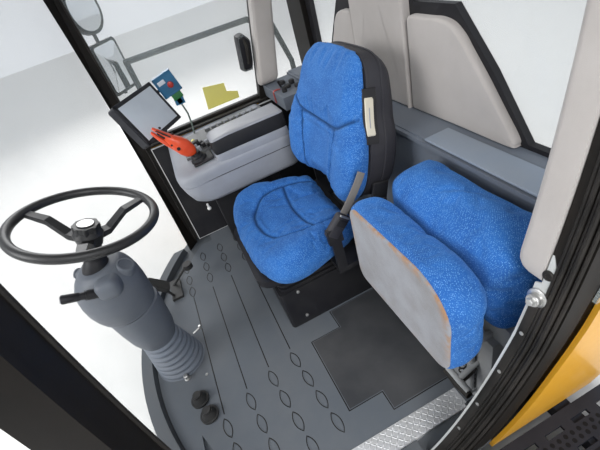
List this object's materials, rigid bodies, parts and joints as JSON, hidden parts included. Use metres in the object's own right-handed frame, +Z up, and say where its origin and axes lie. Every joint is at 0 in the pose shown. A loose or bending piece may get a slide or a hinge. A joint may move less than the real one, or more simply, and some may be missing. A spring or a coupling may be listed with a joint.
{
  "type": "forage harvester cab",
  "caption": "Operator's cab of a forage harvester with a curved windscreen, an open left door, a driver's seat, a folding jump seat, a console and a tilting column.",
  "frame": {"origin": "underside of the base frame, under the driver's seat centre line, where the middle cross member crosses it", "axes": "+X forward, +Y left (door side), +Z up"},
  "size_m": [1.429, 3.0523, 1.905],
  "materials": {
    "base_frame": "satin black paint",
    "floor_pan": "satin black paint",
    "floor_mat": "moulded rubber mat",
    "sill_plate": "bright chequer plate",
    "foot_controls": "black rubber",
    "front_posts": "brown-black paint",
    "rear_posts": "brown-black paint",
    "roof_ring": "brown-black paint",
    "windscreen": "clear safety glass",
    "side_windows": "clear safety glass",
    "rear_windows": "clear safety glass",
    "rear_wall": "dark grey paint",
    "rear_pads": "beige-grey felt cloth",
    "rear_ledge": "blue-grey moulded plastic",
    "post_pads": "beige-grey felt cloth",
    "side_panels": "orange-yellow gloss paint",
    "inner_panels": "light grey paint",
    "door_seal": "black rubber",
    "roof_shell": "orange-yellow moulded plastic",
    "roof_liner": "grey moulded liner",
    "work_lamps": "black plastic lamp bodies",
    "column_base": "grey-black rubber boot",
    "console_body": "light grey moulded plastic",
    "console_armrest": "black skinned foam",
    "console_panel": "grey switch panel",
    "joystick": "orange-red plastic",
    "terminal": "black plastic with a pale screen",
    "controller_box": "blue paint",
    "controller_cable": "grey-green cable",
    "seat_base": "black plastic and rubber",
    "jump_frame": "light grey and black paint",
    "jump_back": "blue flecked plush",
    "mirrors": "black plastic",
    "guard_rail": "black paint",
    "platform": "grey-black punched steel",
    "column_head": "grey moulded plastic",
    "steering_wheel": "black plastic with a silver disc",
    "seat_pan": "black steel",
    "seat_cushion": "blue flecked plush",
    "back_shell": "black plastic shell",
    "back_cushion": "blue flecked plush",
    "jump_cushion": "blue plush with a grey carpet underside",
    "door_frame": "black paint",
    "door_glass": "clear safety glass"
  },
  "bodies": {
    "cab": {"base_frame": "base_frame", "floor_pan": "floor_pan", "floor_mat": "floor_mat", "sill_plate": "sill_plate", "foot_controls": "foot_controls", "front_posts": "front_posts", "rear_posts": "rear_posts", "roof_ring": "roof_ring", "windscreen": "windscreen", "side_windows": "side_windows", "rear_windows": "rear_windows", "rear_wall": "rear_wall", "rear_pads": "rear_pads", "rear_ledge": "rear_ledge", "post_pads": "post_pads", "side_panels": "side_panels", "inner_panels": "inner_panels", "door_seal": "door_seal", "roof_shell": "roof_shell", "roof_liner": "roof_liner", "work_lamps": "work_lamps", "column_base": "column_base", "console_body": "console_body", "console_armrest": "console_armrest", "console_panel": "console_panel", "joystick": "joystick", "terminal": "terminal", "controller_box": "controller_box", "controller_cable": "controller_cable", "seat_base": "seat_base", "jump_frame": "jump_frame", "jump_back": "jump_back", "mirrors": "mirrors", "guard_rail": "guard_rail", "platform": "platform"},
    "column": {"column_head": "column_head"},
    "wheel": {"steering_wheel": "steering_wheel"},
    "seat": {"seat_pan": "seat_pan", "seat_cushion": "seat_cushion"},
    "backrest": {"back_shell": "back_shell", "back_cushion": "back_cushion"},
    "jump": {"jump_cushion": "jump_cushion"},
    "door": {"door_frame": "door_frame", "door_glass": "door_glass"}
  },
  "joints": [
    {"name": "door_hinge", "type": "hinge", "parent": "cab", "child": "door", "pos_m": [0.343, 0.912, 0.85], "axis": [0, 0, 1], "range_deg": [0, 100]},
    {"name": "column_tilt", "type": "hinge", "parent": "cab", "child": "column", "pos_m": [0.505, 0, 0.215], "axis": [0, 1, 0], "range_deg": [-18, 2]},
    {"name": "wheel_turn", "type": "hinge", "parent": "column", "child": "wheel", "pos_m": [0.472, 0, 0.855], "axis": [-0.3256, 0, 0.9455], "continuous": true},
    {"name": "seat_slide", "type": "slide", "parent": "cab", "child": "seat", "axis": [1, 0, 0], "range_m": [0, 0.15]},
    {"name": "backrest_recline", "type": "hinge", "parent": "seat", "child": "backrest", "pos_m": [-0.345, 0, 0.6], "axis": [0, 1, 0], "range_deg": [-4, 30]},
    {"name": "jump_fold", "type": "hinge", "parent": "cab", "child": "jump", "pos_m": [-0.312, 0.556, 0.478], "axis": [0, 1, 0], "range_deg": [0, 90]}
  ]
}
